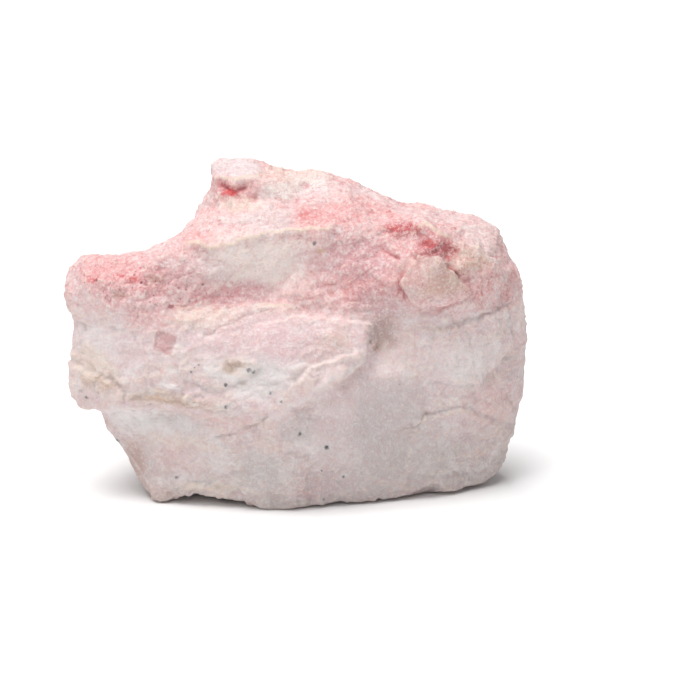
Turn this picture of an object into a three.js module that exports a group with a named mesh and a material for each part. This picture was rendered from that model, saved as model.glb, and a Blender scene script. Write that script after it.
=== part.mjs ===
// A rough hand specimen of massive rhodochrosite: one broken lump of pale pink stone.
//
// Millimetres, +Z up. X runs to the right across the broad show face, which looks along -Y, and Y runs to
// the back. The origin is on the ground plane, under the middle of the stone's bounding box.
//
// The stone is star-shaped: every point of its skin can be seen from one point deep inside. Its corners are
// listed feature by feature, the hull of their directions from that inner point gives the faces between
// them, and the faces are then divided, worn along their edges and roughened.
import * as THREE from "three";
import { ConvexHull } from "three/addons/math/ConvexHull.js";
import { ImprovedNoise } from "three/addons/math/ImprovedNoise.js";
import { TessellateModifier } from "three/addons/modifiers/TessellateModifier.js";
import { mergeVertices } from "three/addons/utils/BufferGeometryUtils.js";

// Driving dimensions of the finished stone.
const WIDTH = 42.2; // left end to right end
const HEIGHT = 29.9; // resting plane to the peak

// How finely the faces are divided, and how they are worn and roughened.
const LONGEST_EDGE = 1.9;
const DIVIDE_PASSES = 12;
const WEAR_PASSES = 1;
const WEAR_SHARE = 0.2; // how far each pass draws a point towards its neighbours
const RELIEF = [
  { size: 4.6, height: 0.5 }, // broad hackly relief
  { size: 2.1, height: 0.26 }, // broken grain
];
const RELIEF_FREE = 1.2; // the relief fades out over this height above the resting plane

const INNER_POINT = new THREE.Vector3(0.5, 14, 13.5);

// The corners, feature by feature, as [x, y, z]. The stone's front foot stands at y = 0.
const CORNERS = {
  // The broken rim of the underside along the front: a left foot, a low arch, the front foot, a long rise.
  frontRim: [
    [-12.3, 1.8, 0], [-10.2, 1.4, 0.9], [-7.2, 0.9, 1], [-4.7, 0.5, 0.7], [-3, 0, 0], [-0.9, 0, 0],
    [1.4, 0.6, 0.2], [5, 1.3, 0.3], [9.5, 2.2, 0.3], [14.1, 3.6, 0.3],
  ],
  // The left end, from the left foot up over the overhanging ledge to the rounded nose.
  leftEnd: [
    [-13.2, 2.6, 0.3], [-14.4, 3.5, 1.3], [-15.8, 4, 3.5], [-17.4, 4.2, 5.9], [-18, 4.2, 7.8],
    [-18.3, 3.7, 8.6], [-19.8, 4, 8.6], [-20.4, 4.6, 10.5], [-20.9, 5, 12.5], [-20.6, 5.4, 14.5],
    [-19.9, 5.8, 16.3], [-20.7, 6, 17.4], [-21.1, 6.4, 19.1], [-20.7, 7, 20.7], [-19.5, 7.6, 21.7],
  ],
  // The skyline: over the back of the nose, up the broken step to the peak, and down to the right shoulder.
  skyline: [
    [-15.9, 8.6, 21.4], [-13.6, 9.2, 21.6], [-11, 9.8, 22.8], [-9.1, 10.2, 24.3], [-8.7, 10.8, 25.4],
    [-7.7, 10.8, 27.2], [-7.4, 9.9, 27.7], [-7.9, 10.6, 29.6], [-7.2, 11.4, 29.9], [-4.1, 12, 29.6],
    [-2.3, 12.6, 28.7], [2.1, 13, 28.3], [6.3, 13, 26.6], [10, 13, 25.2], [12.7, 12.6, 25],
    [14.9, 12, 24.6], [17, 11.8, 24.2], [18.9, 11, 23.4], [19.4, 10.4, 21.9],
  ],
  // The right end, down to its foot.
  rightEnd: [
    [20.4, 9.8, 19.6], [21, 9, 17.2], [21.3, 8.4, 13.6], [21.1, 8, 9.4], [20.4, 8, 5], [19.3, 7.6, 1.6],
    [17.6, 6, 0.3],
  ],
  // The lip of the peak and the strip under it, where the pocket is broken out.
  peakLip: [
    [-7.4, 9.4, 28.5], [-5.2, 8.3, 28.5], [-3.2, 8.7, 28.6], [-6.8, 7.9, 26.3], [-4.6, 7.8, 26.8],
    [-2.6, 8.2, 27],
  ],
  // The slope between the skyline and the long front edge.
  upperSlope: [
    [-4.9, 7, 25.8], [-0.4, 8, 26.5], [4.1, 8.6, 26.8], [8.6, 8.2, 25.8], [-9, 7.6, 24.3],
    [-13.1, 6.6, 22.3], [-16.6, 5.6, 21.9], [-18.9, 5.9, 21.7], [1.4, 11, 27.8], [12.2, 9, 25.2],
    [15.4, 8, 24], [17.8, 8, 22.6],
  ],
  // The long front edge: it climbs from the nose, runs level over the buff face and ends in a small horn.
  frontEdge: [
    [-18.9, 3.7, 20.4], [-16.7, 3.3, 20.9], [-14.6, 3.2, 20.7], [-12.6, 4, 22.3], [-9.6, 4.6, 23.7],
    [-7.2, 4, 23.6], [-4, 4, 24.4], [-1.9, 4.1, 24.9], [1.3, 4.2, 24.8], [4.3, 5.2, 25.3],
    [7.4, 5.6, 25], [10.2, 5, 25.1], [11.8, 4.8, 25.4], [13, 4.5, 24.6], [14.7, 4.4, 23.3],
    [16.6, 4.8, 22.4], [18.4, 5.6, 20.8],
  ],
  // The grainy pink face at the left, under the front edge.
  pinkFace: [
    [-20.1, 4.8, 18.5], [-17.4, 2.8, 18.6], [-14.7, 2.1, 18.4], [-12, 2.4, 19], [-9.8, 3, 20.6],
    [-8.1, 3.2, 18.7],
  ],
  // The smooth buff face in the middle.
  buffFace: [
    [-6.2, 3.5, 21.6], [-3.1, 3.6, 22], [0.5, 3.6, 22.3], [3, 4, 22.4], [-4.9, 3.6, 19.4],
    [-1.6, 3.5, 19.6], [3.2, 3.2, 20.2],
  ],
  // The crumbly deep pink face at the right.
  deepPinkFace: [
    [5.6, 4.5, 23.4], [8.6, 4.9, 24], [11.4, 4.6, 24.3], [6.8, 3.4, 21.6], [5.6, 2.9, 19.8],
    [9, 3, 21.5],
  ],
  // The block that stands out of it, with an open crack along its back.
  block: [
    [9.3, 2.9, 22.5], [11.9, 2, 23.2], [12.8, 2.2, 23], [14.4, 2.7, 21.5], [11.9, 1.6, 20.8],
    [9.6, 4.1, 23.3], [12.2, 3.7, 23.6], [14.4, 3.9, 22.2], [10, 2.4, 19.6], [14.8, 3, 18.8],
  ],
  // The pale shelf along the foot of the upper faces, and the hollow at its right end.
  shelf: [
    [-18.3, 4, 15.9], [-15.7, 2.6, 15.9], [-12.9, 1.7, 16.6], [-10.2, 1.6, 17.4], [-6.8, 2, 17.9],
    [-4, 2.3, 18.3], [-0.9, 2.3, 18.2], [2.1, 2.1, 18], [4.3, 2.2, 17.4], [6.4, 2.5, 16.8],
    [7.6, 2.7, 14.8], [8.8, 2.7, 17.6],
  ],
  // The belly of the stone and the curved rib that crosses it.
  belly: [
    [-8.4, 0.9, 15.2], [-4.8, 0.9, 16.2], [-0.4, 0.8, 16.6], [3.2, 0.5, 16.2], [6, 0.7, 14.8],
    [3.4, -1, 13.4], [1, -1.8, 12.3], [-2.2, -2, 9.7], [-3.9, -0.6, 13.4], [-11.6, 0.6, 13.6],
    [-16.2, 2.4, 13.4], [-18.9, 4, 13.5], [-6.4, -0.6, 11.2], [-0.4, -0.6, 14.6],
  ],
  // The shell-shaped fracture under the rib.
  shellFracture: [
    [6.8, 0.6, 12.4], [4.6, -0.7, 10.6], [8.3, 1.3, 9], [9.6, 2, 5.1], [5.9, 0.2, 5.6],
    [2.3, -1.3, 7.2],
  ],
  // The thin ledge that crosses the left half, and the face cut back under it.
  ledge: [
    [-17.6, 3, 11.3], [-15.3, 2, 10.9], [-13, 1.1, 10.6], [-10.3, 0.1, 10.3], [-7.1, -0.9, 10.4],
    [-4.8, -1.5, 10.2], [-17.6, 2.6, 9.3], [-15, 1.8, 9.4], [-16.9, 3.6, 7.9], [-14.9, 2.8, 8],
    [-12.3, 2, 8.6], [-9.6, 1, 8.5], [-6.5, -0.3, 8.3],
  ],
  // The lower face, with a narrow dark facet along its left side.
  lowerFace: [
    [-15.5, 3.3, 5.5], [-13.1, 2.1, 5.8], [-9.4, 0.7, 6], [-5.8, -0.4, 6], [-1.7, -1.4, 6.4],
    [1.6, -1, 4.8], [-13.6, 2.6, 2.4], [-10.8, 1.2, 2.8], [-7.6, 0.4, 2.9], [-4, -0.2, 2.6],
    [-0.4, -0.6, 2.8], [3.2, -0.2, 3], [6.8, 0.9, 2.7],
  ],
  // The lower right of the show face, in three broad steps.
  rightFace: [
    [12.4, 2.6, 15.4], [18, 5, 17], [11.3, 2.2, 12.2], [15.2, 3, 11], [18.8, 5.2, 10.6],
    [12.2, 2.6, 6.8], [16.6, 4.3, 5.6], [13.2, 3, 2], [19, 6, 5],
  ],
  // The back: an upper slope, a broad middle with a blunt edge down it, and a face drawn in to the foot.
  back: [
    [-5, 15.2, 27], [1, 17, 25.6], [8, 17, 23], [14, 15.5, 21], [18.4, 13, 18], [-11, 14, 20.6],
    [-17, 11, 18.9], [-19.4, 9.6, 14.5], [-15.4, 15.2, 14.4], [-8, 18.6, 19.4], [-1, 20, 18.4],
    [7, 20.4, 16], [14, 18, 13.4], [19, 13, 10.4], [-17.2, 10, 7.4], [-12, 15.6, 7.2], [-4, 19, 8.4],
    [4, 19.6, 7], [11, 18.4, 5.4], [17, 13.6, 4.2],
  ],
  // A ledge that crosses the back and the left end on the same level as the one in front.
  backLedge: [
    [-17.6, 11.6, 11.6], [-17, 11.4, 10.4], [-12.6, 17.2, 12], [-12, 16.2, 10.9], [-5, 20, 13],
    [-5, 19, 11.8], [3, 21, 12.2], [3, 20, 11], [10, 20, 10.6], [10, 19, 9.6],
  ],
  // The rim of the underside round the back, and the flat facet the stone rests on.
  underside: [
    [-13.4, 8.6, 1], [-9, 13.6, 0.7], [-2, 16, 0.8], [6, 17, 0.6], [12.4, 15, 0.9], [16.8, 10, 0.6],
    [-10.4, 4.6, 0], [-8, 11, 0], [0, 13.6, 0], [8, 13.6, 0], [13, 9, 0], [12, 4.8, 0], [4, 2.6, 0],
  ],
};

// The faces between the corners: the convex hull of the corners' directions joins each to its neighbours.
function faceted(corners) {
  const cornerOf = new Map();
  const directions = corners.map((corner) => {
    const direction = corner.clone().sub(INNER_POINT).normalize();
    cornerOf.set(direction, corner);
    return direction;
  });
  const positions = [];
  for (const face of new ConvexHull().setFromPoints(directions).faces) {
    let edge = face.edge;
    do {
      positions.push(...cornerOf.get(edge.head().point));
      edge = edge.next;
    } while (edge !== face.edge);
  }
  return new THREE.BufferGeometry().setAttribute("position", new THREE.Float32BufferAttribute(positions, 3));
}

// The faces divided until no edge is longer than LONGEST_EDGE, with their shared points merged.
function divided(geometry) {
  return mergeVertices(new TessellateModifier(LONGEST_EDGE, DIVIDE_PASSES).modify(geometry), 1e-3);
}

// For each point, the points that share an edge with it.
function neighboursOf(geometry) {
  const { array } = geometry.index;
  const neighbours = Array.from({ length: geometry.attributes.position.count }, () => new Set());
  for (let i = 0; i < array.length; i += 3) {
    for (let k = 0; k < 3; k++) {
      const from = array[i + k];
      const to = array[i + ((k + 1) % 3)];
      neighbours[from].add(to);
      neighbours[to].add(from);
    }
  }
  return neighbours;
}

// Wears the edges: each point above the resting plane moves part of the way to its neighbours' middle.
function wear(geometry) {
  const { position } = geometry.attributes;
  const neighbours = neighboursOf(geometry);
  const point = new THREE.Vector3();
  for (let pass = 0; pass < WEAR_PASSES; pass++) {
    const before = position.clone();
    for (let i = 0; i < position.count; i++) {
      if (before.getZ(i) <= 0) continue;
      const middle = new THREE.Vector3();
      for (const n of neighbours[i]) middle.add(point.fromBufferAttribute(before, n));
      middle.divideScalar(neighbours[i].size);
      point.fromBufferAttribute(before, i).lerp(middle, WEAR_SHARE);
      position.setXYZ(i, ...point);
    }
  }
}

// Roughens the skin: each point moves along its line from the inner point, and none goes below ground.
function roughen(geometry) {
  const { position } = geometry.attributes;
  const noise = new ImprovedNoise();
  const point = new THREE.Vector3();
  for (let i = 0; i < position.count; i++) {
    point.fromBufferAttribute(position, i);
    const fade = THREE.MathUtils.smoothstep(point.z, 0, RELIEF_FREE);
    let push = 0;
    for (const { size, height } of RELIEF) {
      push += height * noise.noise(point.x / size, point.y / size, point.z / size);
    }
    const out = point.clone().sub(INNER_POINT).normalize();
    point.addScaledVector(out, push * fade);
    position.setXYZ(i, point.x, point.y, Math.max(point.z, 0));
  }
}

// Sets the stone over the origin at its exact width and height.
function settle(geometry) {
  geometry.computeBoundingBox();
  const size = geometry.boundingBox.getSize(new THREE.Vector3());
  const middle = geometry.boundingBox.getCenter(new THREE.Vector3());
  const across = WIDTH / size.x;
  geometry.translate(-middle.x, -middle.y, 0);
  geometry.scale(across, across, HEIGHT / size.z);
}

function stoneGeometry() {
  const corners = Object.values(CORNERS).flat().map((corner) => new THREE.Vector3(...corner));
  const geometry = divided(faceted(corners));
  wear(geometry);
  roughen(geometry);
  settle(geometry);
  geometry.computeVertexNormals();
  return geometry;
}

const palePink = new THREE.MeshStandardMaterial({ color: 0xe6cfcd, roughness: 0.8, metalness: 0 });

const stone = new THREE.Mesh(stoneGeometry(), palePink);
stone.name = "rhodochrosite";

const specimen = new THREE.Group();
specimen.add(stone);

export default specimen;
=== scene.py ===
"""A rough hand specimen of massive rhodochrosite on a pale studio floor.

The stone is one lump of layered, fine grained pink stone. Its skin is divided finely, broken up by scoops,
ledges and cracks, and coloured by layers, seams, patches and specks that run through the stone. Over these,
painted shade darkens its hollows, cracks and lower layers, and a few patches paint in light.
Places and reaches on the stone are in millimetres, in its own frame: X to the right across the show face,
Y to the back, Z up from the resting plane. The stage is in metres.
"""
import math

import bpy
import numpy as np
from bpy.props import FloatProperty, FloatVectorProperty, IntProperty, PointerProperty
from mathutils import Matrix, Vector, noise


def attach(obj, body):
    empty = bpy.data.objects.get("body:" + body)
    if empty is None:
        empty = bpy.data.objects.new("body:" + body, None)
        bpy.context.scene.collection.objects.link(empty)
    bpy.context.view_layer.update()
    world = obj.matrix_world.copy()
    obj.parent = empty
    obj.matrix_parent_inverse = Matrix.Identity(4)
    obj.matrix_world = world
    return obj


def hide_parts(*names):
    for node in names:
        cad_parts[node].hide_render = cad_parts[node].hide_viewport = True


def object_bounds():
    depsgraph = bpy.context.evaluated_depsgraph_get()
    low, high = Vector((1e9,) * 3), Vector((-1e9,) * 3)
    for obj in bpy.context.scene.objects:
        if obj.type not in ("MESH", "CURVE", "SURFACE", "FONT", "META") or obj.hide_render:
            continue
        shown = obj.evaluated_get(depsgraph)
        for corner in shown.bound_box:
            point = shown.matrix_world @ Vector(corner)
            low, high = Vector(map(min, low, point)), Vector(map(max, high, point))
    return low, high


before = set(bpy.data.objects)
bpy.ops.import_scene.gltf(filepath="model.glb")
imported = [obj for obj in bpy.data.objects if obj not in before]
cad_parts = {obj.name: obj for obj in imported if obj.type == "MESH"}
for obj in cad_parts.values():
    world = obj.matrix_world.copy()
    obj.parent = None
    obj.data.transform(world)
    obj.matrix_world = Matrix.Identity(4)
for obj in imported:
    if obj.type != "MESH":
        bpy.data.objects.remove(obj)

CAD_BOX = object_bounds()
NODE = "rhodochrosite"
MM = 0.001
WELD_REACH = 0.001 * MM

# The stage: half the floor's width, where the lights stand and how wide they are, and the camera.
FLOOR_HALF = 1.5
STONE_MIDDLE = (0, 0, 0.015)
SOFT_LIGHT_PLACE = (-0.18, -0.08, 1.14)
SOFT_LIGHT_WIDTH = 0.9
FRONT_LIGHT_PLACE = (-0.40, -0.80, 0.80)
FRONT_LIGHT_WIDTH = 0.6
CAMERA_PLACE = (0.0049, -0.3856, 0.1374)
SENSOR_WIDTH = 36
FOCAL_LENGTH = 227.7
NEAREST_SEEN = 0.01

bl_info = {
    "name": "Rhodochrosite Specimen",
    "version": (1, 0, 0),
    "blender": (4, 5, 0),
    "location": "3D View > Sidebar > Specimen",
    "description": "A rough pink rhodochrosite hand specimen and its studio floor",
    "category": "Object",
}


def shade(red, green, blue):
    """A colour given on the 0 to 255 display scale, as the linear values that Blender's colours use."""
    linear = []
    for value in (red, green, blue):
        share = value / 255
        linear.append(share / 12.92 if share <= 0.04045 else ((share + 0.055) / 1.055) ** 2.4)
    return tuple(linear)


# ---------------------------------------------------------------- what a user would change


def length_setting(name, description, default):
    """A length, with its default in millimetres."""
    metres = default * MM
    return FloatProperty(name=name, description=description, default=metres, unit="LENGTH", precision=5)


def colour_setting(name, description, default):
    return FloatVectorProperty(
        name=name, description=description, default=default, subtype="COLOR", size=3, min=0, max=1
    )


def power_setting(name, description, default):
    return FloatProperty(name=name, description=description, default=default, unit="POWER")


class SpecimenSkin(bpy.types.PropertyGroup):
    grain: length_setting("Grain", "Width of the skin's smallest faces", 0.213)
    broad_scoops: length_setting("Broad scoops", "Depth of the broad shell-shaped breaks", 0.30)
    small_scoops: length_setting("Small scoops", "Depth of the small breaks between them", 0.17)
    chips: length_setting("Chips", "Depth of the chips within those", 0.10)
    plates: length_setting("Plates", "Height of the steps where thin layers broke away", 0.13)
    grit: length_setting("Grit", "Depth of the finest chips", 0.045)
    sugar: length_setting("Sugar", "Height of the loose grains on the crumbly pink layers", 0.10)
    seed: IntProperty(name="Seed", description="Picks one way for the skin to break", default=4, min=1)


class SpecimenColours(bpy.types.PropertyGroup):
    pale: colour_setting("Pale", "The pale pink ground of the stone", shade(236, 214, 211))
    white: colour_setting("White", "White mottling", shade(243, 238, 237))
    lilac: colour_setting("Lilac", "Cool pink of the smooth belly", shade(232, 208, 210))
    rose: colour_setting("Rose", "The pink layer at the top", shade(240, 192, 190))
    deep_rose: colour_setting("Deep rose", "The strongest pink", shade(232, 160, 160))
    red: colour_setting("Red", "Clear red crystal in the pockets", shade(208, 84, 84))
    garnet: colour_setting("Garnet", "Dark red grains in the pink layers", shade(196, 122, 124))
    mauve: colour_setting("Mauve", "Dull purple pink patches", shade(214, 168, 172))
    cream: colour_setting("Cream", "Cream seams", shade(244, 226, 208))
    buff: colour_setting("Buff", "Buff faces and seams", shade(242, 223, 214))
    wine: colour_setting("Wine", "Small dark dots in the crumbly pink layer", shade(146, 74, 80))
    clay: colour_setting("Clay", "The block at the right", shade(219, 184, 175))
    tan: colour_setting("Tan", "Brownish seams and edges", shade(216, 184, 160))
    ash: colour_setting("Ash", "Grey shade of the lower part", shade(208, 202, 200))
    brown: colour_setting("Brown", "Brown stains", shade(172, 146, 130))
    # Painted shade: a grey laid thinly over the whole stone, thicker towards the resting plane, and in the
    # hollow right of the belly.
    painted_shade: colour_setting("Dusk", "Grey that deepens the stone's lower layers", shade(104, 88, 86))
    speck: colour_setting("Speck", "Dark mineral specks", shade(92, 90, 94))


class SpecimenStage(bpy.types.PropertyGroup):
    floor: colour_setting("Floor", "Colour of the floor", shade(250, 250, 250))
    soft_light: power_setting("Soft light", "Power of the light overhead", 16.9)
    front_light: power_setting("Front light", "Power of the light in front", 2.0)
    fill: FloatProperty(name="Fill", description="Strength of the light all round", default=0.25, min=0)
    looks_down: FloatProperty(
        name="Looks down",
        description="How far the camera looks down",
        default=math.radians(18),
        subtype="ANGLE",
    )


# ---------------------------------------------------------------- the shape of the skin

# Lines on the show face are found as seen from the front: a distance along Y counts only this share.
DEPTH_COUNTS = 0.35
EDGE_WAVINESS = 0.08
CRACK_WAVINESS = 0.12

# How often the skin is evened: once divided, for its outward directions before and after it is broken up.
EVENING_PASSES = 3
OUTWARD_PASSES = 6
FINAL_OUTWARD_PASSES = 2

# The relief fades out over this height above the resting plane.
FLAT_FOOT = 0.4

# How hollow the skin lies, as the material reads it: (name, evening passes, depth that counts as full).
HOLLOWS = (("hollow_fine", 3, 0.05), ("hollow_broad", 40, 0.30))

# Raised edges that catch the light: (width, height, points along the edge).
RAISED_EDGES = (
    (
        0.24, 0.22,
        ((-9.8, -5.0, 23.8), (-7.2, -5.7, 23.6), (-4.0, -5.7, 24.5), (-1.9, -5.5, 25.0), (3.1, -4.9, 25.2)),
    ),
    (
        0.22, 0.18,
        (
            (10.5, -4.8, 24.7), (11.6, -4.8, 25.4), (12.8, -5.1, 24.9),
            (13.5, -5.1, 24.3), (16.4, -3.9, 22.8),
        ),
    ),
    (0.20, 0.14, ((-3.4, -6.9, 18.7), (-2.4, -7.0, 18.5), (-0.9, -7.1, 18.7), (0.0, -7.3, 18.4))),
    (
        0.50, 0.26,
        (
            (5.9, -8.9, 14.2), (4.5, -10.0, 13.4), (3.1, -10.5, 12.8),
            (0.7, -11.0, 11.2), (-0.9, -11.2, 10.0),
        ),
    ),
    (0.40, 0.20, ((-0.9, -11.2, 10.0), (-2.1, -11.3, 9.5))),
    (
        0.16, 0.14,
        (
            (-10.0, -8.7, 14.8), (-10.4, -8.9, 13.6), (-10.3, -9.0, 12.8),
            (-9.2, -9.3, 12.2), (-7.8, -9.9, 11.8),
        ),
    ),
    (
        0.16, 0.14,
        (
            (-10.2, -8.3, 2.1), (-8.7, -8.7, 1.9), (-7.6, -9.0, 2.2),
            (-6.5, -9.4, 2.9), (-5.5, -9.5, 2.6), (-4.6, -9.3, 1.7),
        ),
    ),
    (0.14, 0.12, ((-9.0, -8.5, 2.9), (-7.6, -9.0, 3.1), (-6.2, -9.4, 3.5), (-4.9, -9.6, 2.9))),
    (
        0.18, 0.16,
        (
            (-15.8, -5.7, 5.4), (-15.3, -5.6, 4.2), (-14.2, -6.3, 2.9),
            (-13.3, -7.0, 1.8), (-12.6, -7.2, 0.8),
        ),
    ),
    (0.18, 0.14, ((-1.5, -10.4, 13.8), (-0.7, -10.5, 13.8), (0.3, -10.7, 13.5))),
    (0.18, 0.18, ((-11.9, -8.9, 11.9), (-11.0, -9.2, 11.6), (-10.3, -9.3, 11.2))),
    (0.20, 0.14, ((-4.4, -10.4, 13.4), (-3.3, -10.8, 12.0), (-2.4, -11.1, 10.8), (-2.0, -11.2, 9.9))),
    (0.22, 0.16, ((-7.4, -0.4, 28.6), (-6.1, -0.9, 28.6), (-4.6, -1.0, 28.7), (-3.1, 0.2, 28.8))),
)

# Fine open cracks and creases: (width, depth, points along the crack).
CRACKS = (
    (0.34, 0.40, ((-7.0, -0.9, 28.0), (-5.8, -1.5, 27.7), (-4.6, -1.5, 27.9))),
    (
        0.28, 0.75,
        (
            (10.6, -7.1, 23.4), (11.7, -7.4, 23.5), (12.8, -7.3, 23.5),
            (13.6, -7.1, 22.6), (14.7, -6.7, 21.2),
        ),
    ),
    (0.24, 0.36, ((9.4, -6.5, 22.9), (8.8, -5.9, 23.2), (8.1, -5.5, 23.2))),
    (0.22, 0.30, ((11.2, -5.8, 23.9), (12.1, -6.0, 24.0), (12.7, -6.1, 23.5))),
    (0.22, 0.24, ((9.5, -7.1, 21.2), (9.4, -7.2, 20.2), (9.7, -7.3, 19.2))),
    (0.26, 0.28, ((8.4, -4.2, 24.8), (9.4, -4.3, 25.1), (10.7, -4.7, 25.0))),
    (0.18, 0.20, ((-18.2, -6.2, 11.8), (-17.0, -6.8, 11.6), (-15.2, -7.8, 10.8))),
    (
        0.20, 0.14,
        (
            (-15.2, -7.8, 10.7), (-15.6, -7.4, 9.6), (-14.0, -8.2, 10.3),
            (-11.9, -8.5, 10.0), (-10.4, -8.9, 9.8),
        ),
    ),
    (0.18, 0.18, ((-10.4, -8.9, 9.8), (-8.0, -10.0, 9.8), (-6.3, -10.6, 9.5))),
    (
        0.18, 0.26,
        ((-2.4, -11.2, 9.5), (-3.3, -10.9, 8.7), (-4.5, -10.5, 8.1), (-5.7, -10.3, 7.6), (-7.8, -9.9, 6.8)),
    ),
    (0.28, 0.30, ((7.8, -6.6, 14.9), (7.0, -7.1, 14.6), (6.6, -7.6, 15.6))),
    (
        0.18, 0.18,
        (
            (-3.9, -7.4, 18.0), (-4.9, -7.7, 17.6), (-6.0, -8.2, 17.2),
            (-7.2, -8.6, 16.6), (-8.1, -8.5, 16.3),
        ),
    ),
    (0.14, 0.16, ((-14.4, -7.3, 19.1), (-14.2, -7.6, 17.9), (-14.6, -7.4, 16.4), (-14.6, -7.4, 15.5))),
    (0.14, 0.14, ((-3.4, -6.9, 18.6), (-3.1, -7.5, 18.0))),
    (0.20, 0.20, ((13.8, -6.4, 17.6), (15.6, -6.0, 15.2), (16.2, -6.4, 12.8))),
    (0.18, 0.16, ((9.6, -7.6, 6.8), (11.6, -7.2, 8.2), (14.4, -6.2, 8.8))),
)

# Flat breaks with a crisp border: (rise, rise gained per millimetre along X and along Z, side along Y that
# they lie on, corners seen from the front as (x, z), in turn round a shape with no hollow corner).
PLATES = (
    (0.60, (0.02, 0.06), -1, ((9.3, 20.6), (11.4, 18.0), (15.8, 19.4), (12.7, 23.3), (10.9, 23.2))),
    (
        0.28, (0.00, 0.00), -1,
        ((-8.6, 28.6), (-6.1, 28.5), (-4.4, 28.6), (-2.7, 28.9), (-3.6, 29.9), (-8.6, 30.5)),
    ),
    (
        0.34, (-0.02, 0.03), -1,
        ((-21.4, 8.2), (-18.5, 8.4), (-15.9, 9.4), (-15.2, 10.7), (-17.0, 11.6), (-21.4, 12.8)),
    ),
    (
        0.24, (0.00, 0.00), -1,
        ((-10.4, 13.0), (-9.2, 12.2), (-6.6, 11.6), (-3.0, 13.6), (-4.9, 16.5), (-7.2, 16.3), (-9.9, 14.9)),
    ),
    (
        0.20, (0.00, 0.05), -1,
        ((-3.6, 14.6), (-1.5, 13.8), (0.6, 13.6), (7.6, 14.6), (7.0, 17.0), (0.4, 17.8), (-3.6, 17.0)),
    ),
    (
        0.36, (0.00, 0.04), -1,
        ((-1.5, 9.9), (0.7, 10.7), (5.9, 13.8), (5.6, 15.0), (1.5, 14.0), (-0.3, 12.4)),
    ),
    (0.16, (0.00, -0.03), -1, ((-4.8, 1.6), (0.6, 1.8), (1.6, 5.2), (-2.6, 6.2), (-5.6, 4.6))),
    (
        -0.16, (0.00, 0.00), -1,
        ((-12.4, 14.8), (-11.2, 14.5), (-10.7, 15.4), (-11.2, 16.4), (-12.5, 16.2), (-12.7, 15.4)),
    ),
    (0.30, (0.03, 0.03), -1, ((11.8, 11.8), (16.6, 10.8), (19.6, 13.6), (19.0, 17.2), (12.6, 16.2))),
    (0.26, (-0.03, 0.03), -1, ((9.8, 2.6), (16.4, 2.2), (18.6, 6.4), (15.0, 8.8), (10.6, 8.0))),
    (0.30, (0.03, 0.02), 1, ((-12.0, 13.4), (-3.4, 14.0), (-2.0, 20.6), (-8.0, 22.4), (-13.2, 18.6))),
    (0.28, (-0.03, -0.02), 1, ((1.0, 13.2), (9.6, 12.0), (13.4, 16.4), (9.4, 20.8), (1.6, 19.4))),
    (0.26, (0.02, -0.03), 1, ((-10.2, 3.0), (-1.0, 2.4), (1.4, 8.6), (-8.6, 9.2))),
    (0.26, (0.02, 0.03), 1, ((3.6, 2.2), (12.6, 2.6), (14.8, 7.6), (5.2, 8.6))),
)

# Small scarps: (height, reach, side that stands proud, points along the foot of the scarp).
SCARPS = (
    (0.10, 1.6, (0, 0, 1), ((-19.0, -5.4, 8.7), (-15.0, -7.6, 9.3), (-12.4, -8.4, 9.6), (-8.6, -9.8, 9.3))),
    (0.20, 1.4, (0, 0, -1), ((-15.2, -7.8, 11.6), (-12.0, -8.4, 12.2), (-8.6, -9.6, 11.6))),
    (
        0.10, 1.8, (0, 0, -1),
        ((-9.6, -6.4, 17.9), (-6.2, -7.2, 18.2), (-1.0, -7.2, 18.4), (3.8, -7.0, 18.0)),
    ),
    (0.22, 1.5, (0, 0, -1), ((-8.4, -9.2, 2.6), (-5.6, -9.4, 2.1), (-2.8, -9.8, 1.9))),
    (0.22, 1.4, (0, 0, 1), ((3.6, -6.4, 20.6), (6.0, -6.6, 20.9), (8.8, -6.8, 20.0))),
    (
        0.30, 2.2, (0, 0, 1),
        ((-17.0, 3.6, 9.6), (-9.0, 8.4, 9.4), (0.0, 10.6, 9.0), (9.0, 9.6, 8.2), (16.4, 5.4, 9.2)),
    ),
    (0.26, 2.0, (0, 0, 1), ((-12.0, 6.2, 17.4), (-4.0, 9.6, 18.0), (5.0, 9.4, 17.4), (13.0, 6.6, 17.0))),
)

# Faces that broke smoothly: (how much of the relief stays, place, reach).
CALM_FACES = (
    (0.40, (6.0, -9.4, 8.8), (4.6, 4.0, 5.6)),
    (0.45, (-2.2, -6.0, 22.2), (5.4, 3.0, 2.8)),
    (0.45, (-14.8, -5.6, 2.8), (1.8, 3.0, 3.0)),
    (0.60, (-4.0, -9.0, 16.0), (6.0, 3.0, 2.4)),
    (0.20, (-5.4, 0.4, 29.2), (2.8, 2.6, 0.9)),
    (0.55, (12.4, -8.0, 21.4), (2.4, 2.0, 1.8)),
    (0.35, (-1.8, -0.8, 27.6), (2.4, 2.2, 0.9)),
    (0.70, (5.4, -6.2, 21.4), (5.0, 3.0, 3.0)),
    (0.60, (11.0, 10.0, 18.0), (7.0, 6.0, 6.0)),
)

# Places where the stone is crumbly: (height of the crumbs, place, reach).
CRUMBLY_PLACES = (
    (0.26, (-11.0, -8.6, 10.6), (4.6, 3.0, 1.1)),
    (0.12, (-17.0, -6.4, 11.0), (2.6, 3.0, 1.6)),
    (0.07, (-14.0, -6.6, 20.0), (5.0, 3.0, 1.8)),
    (0.16, (-6.0, -8.6, 0.6), (10.0, 5.0, 1.4)),
    (0.14, (8.0, -8.0, 0.6), (9.0, 5.0, 1.4)),
    (0.14, (4.0, 8.0, 0.8), (14.0, 5.0, 1.4)),
)


def scoops(points, size, tilt):
    """How proud each point stands on a skin of shallow shell-shaped breaks that meet along sharp edges."""
    proud = np.empty(len(points))
    for i, point in enumerate(points / size):
        place = Vector(point)
        distances, centres = noise.voronoi(place)
        lowest = math.inf
        for distance, centre in zip(distances, centres):
            lean = noise.noise_vector(centre * 3.7)
            level = 0.45 * noise.noise(centre * 5.3)
            lowest = min(lowest, level + 0.9 * distance * distance + tilt * lean.dot(place - centre))
        proud[i] = lowest
    return proud - proud.mean()


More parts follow.
